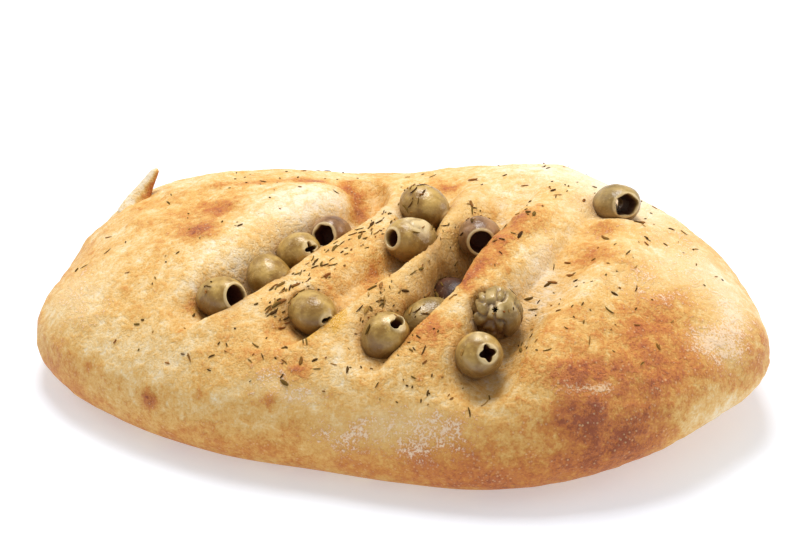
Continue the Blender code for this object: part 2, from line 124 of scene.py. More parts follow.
def open_curve(knots: Sequence[Sequence[float]], steps: int = 6) -> np.ndarray:
    """Rows along a smooth curve through the given rows."""
    k = np.array(knots, dtype=float)
    k = np.vstack([2 * k[0] - k[1], k, 2 * k[-1] - k[-2]])
    rows = []
    for i in range(1, len(k) - 2):
        for t in np.arange(steps) / steps:
            rows.append(0.5 * (
                2 * k[i]
                + (k[i + 1] - k[i - 1]) * t
                + (2 * k[i - 1] - 5 * k[i] + 4 * k[i + 1] - k[i + 2]) * t**2
                + (3 * k[i] - k[i - 1] - 3 * k[i + 1] + k[i + 2]) * t**3
            ))
    rows.append(k[-2])
    return np.array(rows)


def beside_line(line: np.ndarray, x: np.ndarray, y: np.ndarray) -> tuple[np.ndarray, np.ndarray]:
    """Where points lie beside a line in plan.

    Args:
        line: rows of x, y and a value.
        x: the points' x.
        y: the points' y.

    Returns:
        The distance to the line, positive on its right, and the line's value there.
    """
    nearest = np.full(x.shape, np.inf)
    side = np.ones(x.shape)
    value = np.zeros(x.shape)
    for start, end in zip(line[:-1], line[1:]):
        dx, dy = end[:2] - start[:2]
        t = np.clip(((x - start[0]) * dx + (y - start[1]) * dy) / (dx * dx + dy * dy), 0.0, 1.0)
        qx = x - start[0] - t * dx
        qy = y - start[1] - t * dy
        distance = np.hypot(qx, qy)
        closer = distance < nearest
        nearest = np.where(closer, distance, nearest)
        side = np.where(closer, np.where(qx * dy - qy * dx < 0, -1.0, 1.0), side)
        value = np.where(closer, start[2] + t * (end[2] - start[2]), value)
    return nearest * side, value


def read_points(obj: bpy.types.Object) -> np.ndarray:
    """The mesh's points as rows."""
    flat = np.empty(len(obj.data.vertices) * 3)
    obj.data.vertices.foreach_get("co", flat)
    return flat.reshape(-1, 3)


def write_points(obj: bpy.types.Object, points: np.ndarray) -> None:
    """Moves the mesh's points to the given rows."""
    obj.data.vertices.foreach_set("co", points.ravel())
    obj.data.update()


def point_normals(obj: bpy.types.Object) -> np.ndarray:
    """The direction that each of the mesh's points faces."""
    flat = np.empty(len(obj.data.vertices) * 3)
    obj.data.vertex_normals.foreach_get("vector", flat)
    return flat.reshape(-1, 3)


def paint(obj: bpy.types.Object, **layers: np.ndarray) -> None:
    """Stores named values at each point, for the material to read."""
    for name, values in layers.items():
        layer = obj.data.attributes.new(name, "FLOAT", "POINT")
        layer.data.foreach_set("value", values.astype(np.float32))


def link_object(name: str, data: bpy.types.ID) -> bpy.types.Object:
    """Puts a new object with that data into the scene."""
    obj = bpy.data.objects.new(name, data)
    bpy.context.scene.collection.objects.link(obj)
    return obj


def finish_piece(obj: bpy.types.Object, name: str, material: bpy.types.Material) -> None:
    """Names, dresses and smooths a piece, and lets it ride on the loaf's body."""
    obj.name = name
    obj.data.name = name
    obj.data.materials.clear()
    obj.data.materials.append(material)
    obj.data.shade_smooth()
    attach(obj, BODY)
    log.info("%s: %d points", name, len(obj.data.vertices))


@dataclass(frozen=True)
class Slash:
    """A slash across the top: its line of x, y, depth, and the reach of its walls."""

    knots: tuple[tuple[float, float, float], ...]
    far_reach: float
    near_reach: float
    half_floor: float


@dataclass(frozen=True)
class Strip:
    """A raised strip beside the slashes: its line of x, y, height, and its reach."""

    knots: tuple[tuple[float, float, float], ...]
    reach: float


@dataclass
class LoafForm:
    """The loaf's form in plan coordinates, in millimetres, as the solids have it."""

    rim_points: tuple[tuple[float, float], ...] = (
        (128.5, -30), (126, -4), (119, 24), (104, 46), (82, 66), (50, 82), (8, 87), (-34, 88),
        (-76, 87), (-105, 75), (-117, 54), (-125, 27), (-130, -6), (-120, -26), (-102, -43),
        (-71, -62), (-33, -74), (0, -83), (35, -88.5), (70, -83), (92, -73), (110, -58),
        (124, -43),
    )
    outline_steps: int = 2881
    rim_height: float = 16.0
    crown_height: float = 53.0
    blunt_turn: float = 0.35
    shoulder: float = 3.0
    roundness: float = 2.0
    sole_share: float = 0.72
    sole_lift_share: float = 0.8
    lift_height: float = 9.0
    lift_angle: float = math.radians(-22)
    lift_spread: float = 0.55
    lobes: tuple[tuple[float, ...], ...] = (
        (62, -10, 55, 55, 6), (-50, 20, 50, 50, 2), (-95, 45, 35, 40, 1.5), (62, 55, 40, 30, 8),
        (105, 5, 30, 40, 3), (-42, 58, 28, 24, 2.5), (67, 58, 16, 22, 3), (108, 36, 14, 16, 2),
        (80, 4, 14, 6, 4),
    )
    slashes: tuple[Slash, ...] = (
        Slash(((-80, -38, 0), (-70, -33, 5), (-62, -29, 11), (-47, -17, 12), (-36, -4, 12.5),
               (-25, 7.5, 12.5), (-17, 17, 12), (-12.5, 27, 11), (-12, 37, 8), (-16, 49, 0)),
              16, 9, 4.2),
        Slash(((-46, -53, 0), (-36, -46, 6), (-29, -40, 10), (-19, -32, 5.5), (-7, -20, 7),
               (3.5, -7, 9), (8.5, 13, 8), (14, 28, 3), (20, 46, 0)), 11, 9, 3.5),
        Slash(((-15, -69, 0), (-8, -60, 5), (-3, -53, 10), (10, -39, 17), (19, -21, 28),
               (28, -3, 14), (38, 15, 5), (50, 36, 0)), 15, 8, 3),
        Slash(((16, -82, 0), (22, -72, 6), (27, -65, 10), (33, -50, 11), (44, -37, 8),
               (58, -17, 5), (69, 4, 3), (79, 17, 3.5), (91, 32, 0)), 10, 20, 4),
    )
    strips: tuple[Strip, ...] = (
        Strip(((-66, -47, 0), (-52, -39, 0.5), (-34, -24, 0.5), (-17, -4, 1), (0, 20, 1.5),
               (10, 40, 0)), 7.5),
        Strip(((-25, -52, 0), (-8, -40, 2), (6, -24, 3), (16, -4, 3), (24, 16, 3),
               (33, 36, 0)), 7),
        Strip(((-6, -70, 0), (8, -60, 1.5), (22, -44, 3), (33, -23, 4.5), (43, -5, 5), (55, 16, 3),
               (66, 36, 0)), 8.5),
        Strip(((40, -76, 0), (50, -58, 2), (62, -38, 3.5), (73, -14, 3.5), (88, 6, 0)), 14),
        Strip(((-90, -20, 0), (-70, -4, 2), (-52, 14, 3), (-36, 30, 3), (-20, 44, 0)), 15),
    )
    wall_blend: float = 3.0
    slash_end: float = 0.86
    slash_fade: float = 0.13
    run_gap: float = 200.0
    relief: tuple[tuple[float, float, int], ...] = ((24.0, 1.3, 3), (10.0, 0.5, 8))
    smooth_below: float = 3.0
    relief_fade: float = 12.0

    def __post_init__(self) -> None:
        """Works out the outline's curve, the slashes' lines and the middle of the footprint."""
        points = np.array(self.rim_points, dtype=float)
        angles = np.arctan2(points[:, 1], points[:, 0])
        order = np.argsort(angles)
        self.angles = angles[order]
        self.radii = np.hypot(points[:, 0], points[:, 1])[order]
        self.slash_lines = [open_curve(slash.knots) for slash in self.slashes]
        self.strip_lines = [open_curve(strip.knots) for strip in self.strips]
        turn = np.linspace(-math.pi, math.pi, self.outline_steps)
        rim_x = self.rim_radius(turn) * np.cos(turn)
        rim_y = self.rim_radius(turn) * np.sin(turn)
        middle = ((rim_x.max() + rim_x.min()) / 2, (rim_y.max() + rim_y.min()) / 2)
        self.centre = np.array([middle[0], middle[1], 0.0])

    def rim_radius(self, at: np.ndarray) -> np.ndarray:
        """Radius of the outline in each direction."""
        turn = 2.0 * math.pi
        a = np.concatenate([self.angles[-2:] - turn, self.angles, self.angles[:2] + turn])
        v = np.concatenate([self.radii[-2:], self.radii, self.radii[:2]])
        at = np.mod(at - a[2], turn) + a[2]
        i = np.clip(np.searchsorted(a, at, side="right") - 1, 1, len(a) - 3)
        h = a[i + 1] - a[i]
        t = (at - a[i]) / h
        slope_in = (v[i + 1] - v[i - 1]) / (a[i + 1] - a[i - 1]) * h
        slope_out = (v[i + 2] - v[i]) / (a[i + 2] - a[i]) * h
        return (
            (2 * t**3 - 3 * t**2 + 1) * v[i]
            + (t**3 - 2 * t**2 + t) * slope_in
            + (3 * t**2 - 2 * t**3) * v[i + 1]
            + (t**3 - t**2) * slope_out
        )

    def polar(self, x: np.ndarray, y: np.ndarray) -> tuple[np.ndarray, np.ndarray]:
        """Share of the outline's radius, and the direction, of each point."""
        angle = np.arctan2(y, x)
        return np.clip(np.hypot(x, y) / self.rim_radius(angle), 0.0, 1.0), angle

    def lift(self, angle: np.ndarray) -> np.ndarray:
        """How far the rim is raised off the table in each direction."""
        apart = turned_from(angle, self.lift_angle)
        return self.lift_height * bell(apart / self.lift_spread)

    def dome(self, x: np.ndarray, y: np.ndarray) -> np.ndarray:
        """Height of the smooth dome, before its slashes."""
        share, angle = self.polar(x, y)
        right = 0.5 + 0.5 * np.cos(angle + self.blunt_turn)
        rounded = 1 / (self.roundness + 0.2 * right**2)
        rise = (1 - share ** (self.shoulder + right**2)) ** rounded
        crown = self.crown_height + sum(
            height * np.exp(-(((x - cx) / rx) ** 2) - ((y - cy) / ry) ** 2)
            for cx, cy, rx, ry, height in self.lobes
        )
        base = self.rim_height + self.lift(angle)
        return base + (crown - base) * rise

    def slash_depth(self, x: np.ndarray, y: np.ndarray) -> np.ndarray:
        """How far the slashes cut into the dome."""
        cut = np.zeros(x.shape)
        for slash, line in zip(self.slashes, self.slash_lines):
            distance, depth = beside_line(line, x, y)
            side = smooth_step(distance / (2 * self.wall_blend) + 0.5)
            reach = slash.far_reach + (slash.near_reach - slash.far_reach) * side
            up = np.clip((np.abs(distance) - slash.half_floor) / (reach - slash.half_floor), 0, 1)
            shoulder = (1 - up) ** 2 * (1 - side) + (1 - smooth_step(up)) * side
            cut += (np.maximum(depth, 0.0) * shoulder) ** 4
        return cut**0.25

    def slash_run(self, x: np.ndarray, y: np.ndarray) -> tuple[np.ndarray, np.ndarray]:
        """How far along, and how far beside, the nearest slash each point lies."""
        nearest = np.full(x.shape, np.inf)
        run = np.zeros(x.shape)
        for number, line in enumerate(self.slash_lines):
            steps = np.hypot(*np.diff(line[:, :2], axis=0).T)
            ruled = np.column_stack([line[:, :2], np.append(0, np.cumsum(steps))])
            distance, along = beside_line(ruled, x, y)
            closer = np.abs(distance) < nearest
            nearest = np.where(closer, np.abs(distance), nearest)
            run = np.where(closer, along + number * self.run_gap, run)
        return run, nearest

    def strip_height(self, number: int, x: np.ndarray, y: np.ndarray) -> np.ndarray:
        """How far one raised strip stands above the dome."""
        distance, height = beside_line(self.strip_lines[number], x, y)
        return height * bell(distance / self.strips[number].reach)

    def top(self, x: np.ndarray, y: np.ndarray) -> np.ndarray:
        """Height of the upper crust, with its slashes and raised strips."""
        share, _ = self.polar(x, y)
        rise = sum(self.strip_height(number, x, y) for number in range(len(self.strips)))
        inside = 1 - smooth_step((share - self.slash_end) / self.slash_fade)
        return self.dome(x, y) + (rise - self.slash_depth(x, y)) * inside

    def sole(self, x: np.ndarray, y: np.ndarray) -> np.ndarray:
        """Height of the underside: flat, then turning up to the rim."""
        share, angle = self.polar(x, y)
        outer = np.clip((share - self.sole_share) / (1 - self.sole_share), 0.0, 1.0)
        lifted = self.lift(angle) * smooth_step(outer / self.sole_lift_share)
        rim = self.rim_height + self.lift(angle)
        return lifted + (rim - lifted) * (1 - np.sqrt(1 - outer**4))

    def crust(self, ball: np.ndarray) -> np.ndarray:
        """Carries points of a unit ball to the crust, in plan millimetres."""
        angle = np.arctan2(ball[:, 1], ball[:, 0])
        radius = np.hypot(ball[:, 0], ball[:, 1]) * self.rim_radius(angle)
        x = radius * np.cos(angle)
        y = radius * np.sin(angle)
        upper = ball[:, 2] > 0
        z = np.where(upper, self.top(x, y), self.sole(x, y))
        points = np.column_stack([x, y, z])
        away = smooth_step((z - self.smooth_below) / self.relief_fade)
        for cell, height, seed in self.relief:
            points[:, 2] += height * smooth_noise(points, cell, seed) * away * upper
        return points

    def is_upper(self, points: np.ndarray) -> np.ndarray:
        """Whether each point lies on the upper crust."""
        x, y, z = points.T
        return z > (self.top(x, y) + self.sole(x, y)) / 2

    def to_part(self, points: np.ndarray) -> np.ndarray:
        """Plan millimetres to the part's metres."""
        return (points - self.centre) * MM


class Wire:
    """A node's output that adds Math nodes where it stands in an expression."""

    def __init__(self, bench: NodeBench, socket: bpy.types.NodeSocket) -> None:
        """Holds the output and the bench that adds nodes."""
        self.bench = bench
        self.socket = socket

    def _math(self, operation: str, first: Wire | float, second: Wire | float) -> Wire:
        """The result of one Math node."""
        return self.bench.add("ShaderNodeMath", {"operation": operation}, {0: first, 1: second})

    def __add__(self, other: Wire | float) -> Wire:
        """self + other."""
        return self._math("ADD", self, other)

    def __radd__(self, other: float) -> Wire:
        """other + self."""
        return self._math("ADD", other, self)

    def __sub__(self, other: Wire | float) -> Wire:
        """self - other."""
        return self._math("SUBTRACT", self, other)

    def __rsub__(self, other: float) -> Wire:
        """other - self."""
        return self._math("SUBTRACT", other, self)

    def __mul__(self, other: Wire | float) -> Wire:
        """self * other."""
        return self._math("MULTIPLY", self, other)

    def __rmul__(self, other: float) -> Wire:
        """other * self."""
        return self._math("MULTIPLY", other, self)


class NodeBench:
    """Adds the nodes of one material."""

    def __init__(self, name: str) -> None:
        """Starts a material with its Principled shader."""
        self.material = bpy.data.materials.new(name)
        self.material.use_nodes = True
        self.tree = self.material.node_tree
        self.shader = self.tree.nodes["Principled BSDF"]
        self.place = self.add("ShaderNodeTexCoord", out="Object")

    def add(
        self,
        kind: str,
        settings: dict | None = None,
        sockets: dict | None = None,
        out: int | str = 0,
    ) -> Wire:
        """Adds a node.

        Args:
            kind: the node's type.
            settings: properties to set first; "stops" sets a ramp's stops.
            sockets: values or wires for the inputs.
            out: which output is returned.

        Returns:
            The chosen output.
        """
        node = self.tree.nodes.new(kind)
        for key, value in (settings or {}).items():
            if key == "stops":
                self._set_stops(node.color_ramp, value)
            else:
                setattr(node, key, value)
        for key, value in (sockets or {}).items():
            self.put(node.inputs[key], value)
        return Wire(self, node.outputs[out])

    def put(self, target: bpy.types.NodeSocket, value: object) -> None:
        """Sets an input to a value, or links it to a wire."""
        if isinstance(value, Wire):
            self.tree.links.new(value.socket, target)
        else:
            target.default_value = value

    @staticmethod
    def _set_stops(ramp: bpy.types.ColorRamp, stops: Sequence[tuple[float, Colour]]) -> None:
        """Gives a ramp its stops."""
        while len(ramp.elements) < len(stops):
            ramp.elements.new(1.0)
        for element, (position, colour) in zip(ramp.elements, stops):
            element.position = position
            element.color = colour

    def noise(self, size_mm: float, detail: float = 2.0, rough: float = 0.5) -> Wire:
        """Cloudy noise of about 0 to 1 with blotches of that size."""
        sockets = {"Vector": self.place, "Scale": MM_PER_M / size_mm, "Detail": detail}
        return self.add("ShaderNodeTexNoise", None, {**sockets, "Roughness": rough})

    def cells(self, size_mm: float) -> Wire:
        """Distance to the nearest of scattered points about that far apart."""
        sockets = {"Vector": self.place, "Scale": MM_PER_M / size_mm}
        return self.add("ShaderNodeTexVoronoi", None, sockets)

    def strands(self) -> Wire:
        """Noise drawn out down the walls of the slashes, from the painted run and drop."""
        sockets = {0: self.painted("run") * 1.1, 1: self.painted("drop") * 0.12}
        where = self.add("ShaderNodeCombineXYZ", None, sockets)
        sockets = {"Vector": where, "Scale": 1.0, "Detail": 3.0, "Roughness": 0.6}
        return self.add("ShaderNodeTexNoise", None, sockets)

    def painted(self, name: str) -> Wire:
        """The value painted on the piece under that name."""
        return self.add("ShaderNodeAttribute", {"attribute_name": name}, out="Fac")

    def step(self, value: Wire, low: float, high: float) -> Wire:
        """Eases from 0 to 1 as the value goes from low to high."""
        return self.add(
            "ShaderNodeMapRange",
            {"interpolation_type": "SMOOTHSTEP"},
            {0: value, 1: low, 2: high, 3: 0.0, 4: 1.0},
        )

    def blend(self, share: Wire | float, first: Wire | Colour, second: Wire | Colour) -> Wire:
        """Mixes two colours."""
        return self.add(
            "ShaderNodeMix", {"data_type": "RGBA"}, {0: share, 6: first, 7: second}, out=2
        )

    def bump(self, height: Wire, depth_mm: float, strength: float) -> Wire:
        """Fine relief of that depth."""
        sockets = {"Height": height, "Distance": depth_mm * MM, "Strength": strength}
        return self.add("ShaderNodeBump", None, sockets)

    def shade(self, **sockets: object) -> bpy.types.Material:
        """Feeds the Principled shader, with underscores for spaces, and returns the material."""
        for key, value in sockets.items():
            self.put(self.shader.inputs[key.replace("_", " ").title().replace("Ior", "IOR")], value)
        return self.material


@dataclass(frozen=True)
class CrustFinish:
    """Baked crust: cream to gold, browned spots, dry flour, and moist dough in the slashes."""

    bake: tuple[tuple[float, Colour], ...] = (
        (0.0, srgb(250, 232, 200)),
        (0.2, srgb(243, 209, 148)),
        (0.4, srgb(232, 180, 94)),
        (0.6, srgb(216, 142, 56)),
        (0.8, srgb(200, 112, 44)),
        (1.0, srgb(162, 80, 34)),
    )
    flour: Colour = srgb(255, 232, 200)
    toasted: Colour = srgb(244, 192, 122)
    # Pale dots: blisters on the crust, also standing for painted glints on them.
    blister_and_glint: Colour = srgb(250, 214, 158)
    dough: Colour = srgb(222, 180, 104)
    shadow: Colour = srgb(190, 134, 70)
    # Amber for the dough round each olive: painted contact shade, with some oil soaked in.
    contact_oil_and_shade: Colour = srgb(180, 122, 52)
    # Near black for the deepest furrows: painted shade.
    furrow_shade: Colour = srgb(74, 44, 22)
    oil: Colour = srgb(228, 172, 44)
    crumb: Colour = srgb(104, 78, 36)
    base_tone: float = 0.33
    roughness: float = 0.55
    relief_mm: float = 1.3

    def material(self) -> bpy.types.Material:
        """Builds the material."""
        bench = NodeBench("baked_crust")
        broad = bench.noise(30, 2.0)
        patch = bench.noise(9, 4.0, 0.6)
        mottle = bench.noise(3.6, 3.0, 0.65)
        grain = bench.noise(1.6, 4.0, 0.7)
        speck = bench.noise(0.7, 2.0, 0.6)
        strand = bench.strands()
        browned = bench.painted("browned")
        floured = bench.painted("floured")
        moist = bench.painted("moist")
        wall = bench.painted("wall")

        fine = (mottle - 0.5) * 1.3 + (grain - 0.5) * 1.2 + (speck - 0.5) * 0.8
        tone = self.base_tone + (broad - 0.5) * 0.5 + fine * (0.48 + browned * 0.3)
        tone = tone + (patch - 0.5) * (0.6 + browned * 0.5)
        # Browner towards the bottom: partly the crust's own colour, partly painted shade where less
        # light falls.
        tone = tone + browned * 0.8 + bench.painted("low") * 0.26 - bench.painted("pale") * 0.36
        tone = tone + (strand - 0.5) * wall * 0.6
        colour = bench.add("ShaderNodeValToRGB", {"stops": self.bake}, {0: tone})
        bubble = bench.step(bench.cells(1.5), 0.34, 0.16) * bench.step(patch + grain, 0.95, 1.15)
        grit = (speck - 0.5) * 2.2 + (patch - 0.5) * 1.2 + (mottle - 0.5) + (grain - 0.5) * 1.5
        dusted = bench.step(floured + grit, 0.40, 0.95) * bench.step(floured, 0.04, 0.22)
        crumb = bench.step(bench.cells(1.3), 0.22, 0.12) * bench.step(speck, 0.46, 0.54)
        oiled = bench.step(bench.painted("oiled") + (grain - 0.5) * 0.6, 0.30, 0.6)
        for share, layer in (
            (moist * 0.6, self.dough),
            (wall * 0.34, self.shadow),
            # Painted shade where the dough meets each olive, with some oil soaked in.
            (bench.painted("halo") * 0.5, self.contact_oil_and_shade),
            # Pale blister dots, partly painted glints.
            (bubble * (0.45 + browned * 0.2), self.blister_and_glint),
            (dusted * 0.85, bench.blend(browned, self.flour, self.toasted)),
            (crumb * bench.painted("herby") * 0.7, self.crumb),
            (oiled * 0.6, self.oil),
            # Painted shade in the deep furrows and the sunken spots.
            (bench.painted("deep") * 0.95, self.furrow_shade),
        ):
            colour = bench.blend(share, colour, layer)

        height = mottle * 0.8 + grain * 0.7 + speck * 0.3 + patch * 0.5 + bubble * 0.1
        height = height * (0.8 + browned * 0.9) + strand * wall * 0.6
        rough = self.roughness + dusted * 0.3 - moist * 0.18 - browned * 0.15 - oiled * 0.35
        return bench.shade(
            base_color=colour,
            roughness=rough + (grain - 0.5) * 0.2,
            normal=bench.bump(height, self.relief_mm, 1.0),
            specular_ior_level=0.5,
        )


@dataclass(frozen=True)
class OliveFinish:
    """Cured green olive with a film of oil; its brown stone hole, folds and underside get painted
    shade.
    """

    name: str
    skin: Colour
    dark: Colour
    gloss: float = 0.4
    pale: Colour = srgb(232, 206, 152)
    # Dark brown for the stone hole and the folds' creases: painted shade in these hollows, over the
    # brown flesh of the hole.
    inside: Colour = srgb(84, 40, 18)
    # Dark warm brown for the olive's underside: painted shade.
    under: Colour = srgb(92, 56, 18)

    def material(self) -> bpy.types.Material:
        """Builds the material."""
        bench = NodeBench(self.name)
        cloud = bench.noise(6, 3.0, 0.6)
        fleck = bench.noise(0.9, 2.0, 0.6)
        hollow = bench.painted("hollow")
        colour = bench.blend(bench.step(cloud, 0.35, 0.7), self.dark, self.skin)
        for share, layer in (
            (bench.step(fleck, 0.62, 0.75) * 0.35, self.pale),
            (bench.painted("bare") * 0.85, self.pale),
            # Painted shade on the underside of the olive.
            (bench.painted("under") * 0.8, self.under),
            # Pale lip of the stone hole: pale flesh, with a painted highlight along the edge.
            (bench.painted("lip") * 0.7, self.pale),
            # Painted shade in the creases of the folds.
            (bench.painted("fold") * 0.7, self.inside),
            # Painted shade down the stone hole, over its brown flesh.
            (hollow, self.inside),
        ):
            colour = bench.blend(share, colour, layer)
        return bench.shade(
            base_color=colour,
            roughness=0.56 - self.gloss * 0.5 + hollow * 0.3 + (cloud - 0.5) * 0.35,
            normal=bench.bump(fleck + cloud * 2.0, 0.4, 0.5),
            coat_weight=(0.1 + bench.step(cloud, 0.4, 0.7) * 0.9) * self.gloss * (1.0 - hollow),
            coat_roughness=0.15,
        )


@dataclass(frozen=True)
class HerbFinish:
    """Dried thyme and oregano, from olive brown to reddish."""

    stops: tuple[tuple[float, Colour], ...] = (
        (0.0, srgb(70, 42, 16)),
        (0.35, srgb(98, 70, 24)),
        (0.6, srgb(122, 96, 38)),
        (0.8, srgb(142, 82, 34)),
        (1.0, srgb(180, 140, 70)),
    )

    def material(self) -> bpy.types.Material:
        """Builds the material."""
        bench = NodeBench("dried_herb")
        tone = bench.painted("tone") + (bench.noise(0.8) - 0.5) * 0.3
        colour = bench.add("ShaderNodeValToRGB", {"stops": self.stops}, {0: tone})
        return bench.shade(base_color=colour, roughness=0.8, specular_ior_level=0.15)


class Hole(Enum):
    """How an olive's stone hole looks: lobes round it and their depth."""

    ROUND = (0, 0.0)
    SLIT = (2, 0.42)
    CROSS = (4, 0.35)
    STAR = (4, 0.22)
    HEXAGON = (6, 0.05)
    TORN = (5, 0.07)
    PUCKER = (6, 0.30)


KHAKI = OliveFinish("khaki_olive", srgb(204, 166, 86), srgb(148, 110, 46))
GREY = OliveFinish("greyish_olive", srgb(196, 164, 98), srgb(140, 112, 56))
PURPLISH = OliveFinish("purplish_olive", srgb(176, 130, 82), srgb(118, 80, 44))
SHADED = OliveFinish("shaded_olive", srgb(88, 46, 16), srgb(56, 28, 10), 0.1)


@dataclass(frozen=True)
class Olive:
    """One pitted olive, as a ball whose upper end is folded in to make the stone hole.

    Its faces are how far the hole looks right, up and nearer in the photograph. Its scar points to
    where the skin has come off, and is longer for a larger scar.
    """

    place: tuple[float, float, float]
    size: tuple[float, float, float]
    faces: tuple[float, float, float]
    hole_radius: float
    hole: Hole = Hole.ROUND
    finish: OliveFinish = KHAKI
    sides: int = 64
    rings: int = 56
    outer_share: float = 0.66
    power: float = 2.3
    scar: tuple[float, float, float] = (0.0, 0.0, 0.0)
    hole_depth: float = 0.55
    lip_width: float = 0.9
    curl_share: float = 0.22
    swing: float = math.pi * 0.94
    fold_depth: float = 1.5
    skin_inset: float = 0.15

    def turn(self) -> Matrix:
        """Turns the olive's Z axis to the way its hole faces."""
        right, up, near = self.faces
        sine, cosine = math.sin(VIEW_SLOPE), math.cos(VIEW_SLOPE)
        way = Vector((right, up * sine - near * cosine, up * cosine + near * sine))
        return way.normalized().to_track_quat("Z", "Y").to_matrix()

    def lowest(self, x: np.ndarray, y: np.ndarray, clear: float) -> np.ndarray:
        """Height of the olive's underside over each point in plan, or a great height beside it."""
        length, width, height = self.size
        reach = np.array([width, height, length]) / 2 + clear
        axes = np.array(self.turn()) / reach
        form = axes @ axes.T
        dx = x - self.place[0]
        dy = y - self.place[1]
        b = 2 * (form[0, 2] * dx + form[1, 2] * dy)
        c = form[0, 0] * dx**2 + form[1, 1] * dy**2 + 2 * form[0, 1] * dx * dy - 1
        inside = b**2 - 4 * form[2, 2] * c
        root = (-b - np.sqrt(np.maximum(inside, 0.0))) / (2 * form[2, 2])
        return np.where(inside > 0, self.place[2] + root, FAR_UP)

    def build(self, number: int, form: LoafForm) -> bpy.types.Object:
        """Models the olive and lays it in its socket."""
        bpy.ops.object.select_all(action="DESELECT")
        share, angle = self._start()
        obj = bpy.context.object
        radius, height, hollow, lip, aside = self._profile(share, angle)
        flat = self.size[2] / self.size[1]
        local = np.column_stack([radius * np.cos(angle), radius * np.sin(angle) * flat, height])
        world = local @ np.array(self.turn()).T
        push = 0.35 * smooth_noise(world + number * 31.0, 6.0, 5) * (1 - hollow)
        push += 0.10 * smooth_noise(world + number * 17.0, 1.8, 6)
        outward = world / np.maximum(np.linalg.norm(world, axis=1, keepdims=True), 1e-6)
        bare = smooth_step((outward @ np.array(self.scar) - 0.78) / 0.12) * (1 - hollow)
        wrinkle = bell(smooth_noise(world + number * 23.0, 3.6, 7) / 0.15)
        # Folds in the skin, pushed in, with painted shade in their creases.
        fold = wrinkle * (1 - hollow) * (1.0 if self.hole is Hole.PUCKER else bare * 0.4)
        push -= self.fold_depth * fold
        world = world + outward * (push - self.skin_inset)[:, None]
        world[:, 0] += aside
        write_points(obj, form.to_part(world + np.array(self.place)))
        # How far each point faces down, for the painted shade on the underside.
        under = smooth_step((0.75 - outward[:, 2]) / 1.15)
        paint(obj, hollow=hollow, lip=lip, bare=bare * (1 - fold), under=under, fold=fold)
        return obj

    def _start(self) -> tuple[np.ndarray, np.ndarray]:
        """Adds a ball, and gives each point's share from the closed end to the hole's bottom."""
        bpy.ops.mesh.primitive_uv_sphere_add(segments=self.sides, ring_count=self.rings, radius=1)
        ball = read_points(bpy.context.object)
        share = 1 - np.arccos(np.clip(ball[:, 2], -1, 1)) / math.pi
        return share, np.arctan2(ball[:, 1], ball[:, 0])

    def lip_share(self) -> float:
        """Where the lip of the hole lies, as a share of half the length."""
        mouth = self.hole_radius + self.lip_width
        return (1 - (mouth / (self.size[1] / 2)) ** 2) ** (1 / self.power)

    def _profile(self, share: np.ndarray, angle: np.ndarray) -> tuple[np.ndarray, ...]:
        """Where points lie along the olive's section.

        Args:
            share: 0 at the closed end, 1 at the bottom of the stone hole.
            angle: direction round the axis.

        Returns:
            Radius and height in millimetres, hollowness, lip, and millimetres to one side.
        """
        length, width, _ = self.size
        lobes, depth = self.hole.value
        lip_at = self.lip_share()
        out = np.clip(share / self.outer_share, 0, 1)
        sweep = (1 - np.cos(out * self.swing)) / (1 - math.cos(self.swing))
        along = -1 + (1 + lip_at) * sweep
        outer = width / 2 * np.sqrt(np.maximum(1 - np.abs(along) ** self.power, 0))
        into = np.clip((share - self.outer_share) / (1 - self.outer_share), 0, 1)
        curl = np.clip(into / self.curl_share, 0, 1)
        down = np.clip((into - self.curl_share) / (1 - self.curl_share), 0, 1)
        folds = 1 + depth * np.cos(lobes * angle) * (1 - 0.7 * down) * smooth_step(into / 0.1)
        rounded = self.lip_width - self.lip_width * np.sin(curl * math.pi / 2)
        bore = (self.hole_radius + rounded) * folds
        bore *= np.sqrt(np.maximum(1 - smooth_step((down - 0.75) / 0.25) ** 2, 0.0))
        lip_height = length / 2 * lip_at + 0.35 * np.sin(curl * math.pi)
        bore_height = lip_height - down * length * self.hole_depth
        outside = share <= self.outer_share
        height = np.where(outside, length / 2 * along, bore_height)
        radius = np.where(outside, outer, bore)
        hollow = smooth_step((down - 0.02) / 0.18)
        lip = smooth_step((out - 0.95) / 0.05) * (1 - smooth_step(down / 0.1))
        return radius, height, hollow, lip, np.zeros_like(share)


